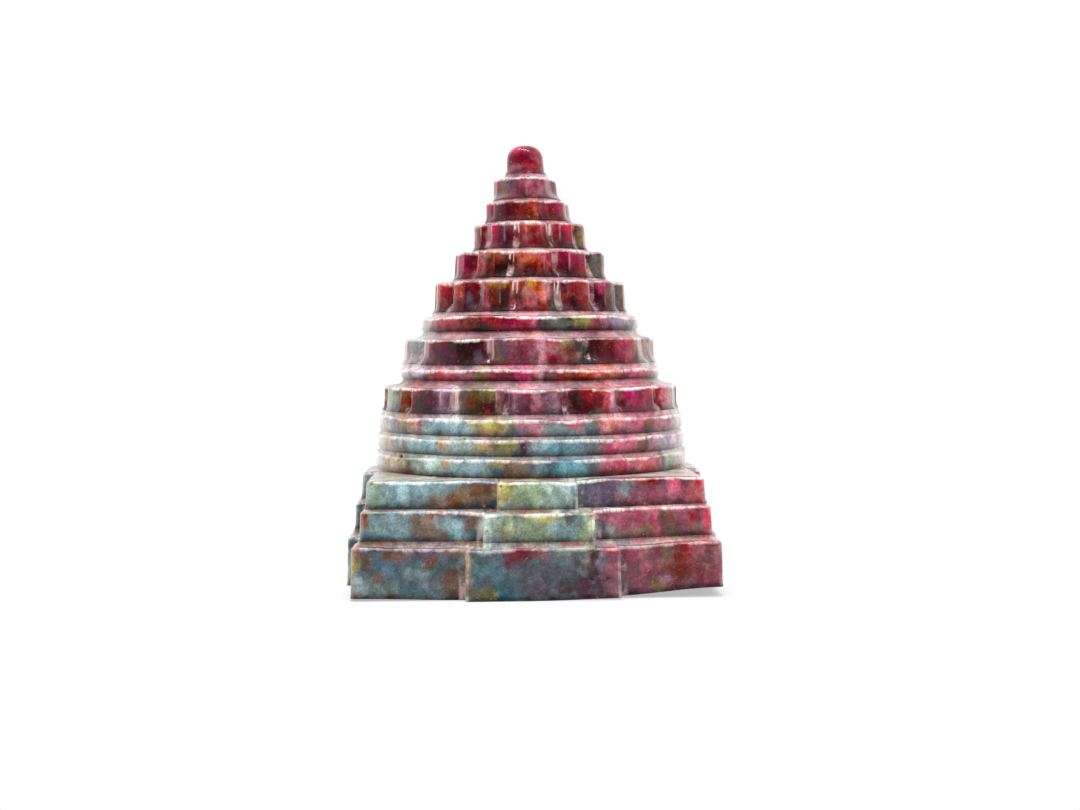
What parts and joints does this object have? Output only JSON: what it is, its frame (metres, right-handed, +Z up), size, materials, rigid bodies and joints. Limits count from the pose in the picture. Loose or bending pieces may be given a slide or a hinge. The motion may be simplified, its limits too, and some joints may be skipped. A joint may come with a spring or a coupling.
{
  "type": "shri yantra",
  "caption": "Stepped meru shri yantra carved from mottled gemstone: square gated ramparts, round girdles, lotus rings and star tiers under a round dome.",
  "frame": {"origin": "centre of the flat underside, on the ground", "axes": "+Z up along the axis through the dome, -Y towards the front, where a star point, a lotus petal and a gate face the viewer"},
  "size_m": [0.0638, 0.0638, 0.0757],
  "materials": {
    "blue_grey_stone": "polished blue-grey gemstone with rust-brown and ochre spots, waxy gloss",
    "sage_stone": "polished pale sage-green gemstone running to raspberry on one side, waxy gloss",
    "pale_blue_stone": "polished pale icy-blue gemstone with olive and pink patches, waxy gloss",
    "olive_stone": "polished olive and tan mottled gemstone, waxy gloss",
    "raspberry_stone": "polished raspberry-pink gemstone with darker specks, waxy gloss",
    "maroon_stone": "polished dark maroon gemstone with orange-brown patches, waxy gloss",
    "rose_stone": "polished rose and brown-red gemstone, waxy gloss",
    "dusk_stone": "polished dusky maroon-pink gemstone, waxy gloss"
  },
  "bodies": {
    "root": {"bhupura_lower": "blue_grey_stone", "bhupura_middle": "sage_stone", "bhupura_upper": "sage_stone", "circle_lower": "pale_blue_stone", "circle_middle": "pale_blue_stone", "circle_upper": "olive_stone", "sixteen_petal_lotus": "maroon_stone", "petal_circle": "raspberry_stone", "eight_petal_lotus": "maroon_stone", "upper_circle": "raspberry_stone", "fourteen_point_tier": "maroon_stone", "outer_ten_point_tier": "rose_stone", "inner_ten_point_tier": "rose_stone", "eight_point_tier": "maroon_stone", "triangle_tier": "dusk_stone", "bindu_dome": "dusk_stone"}
  },
  "joints": []
}
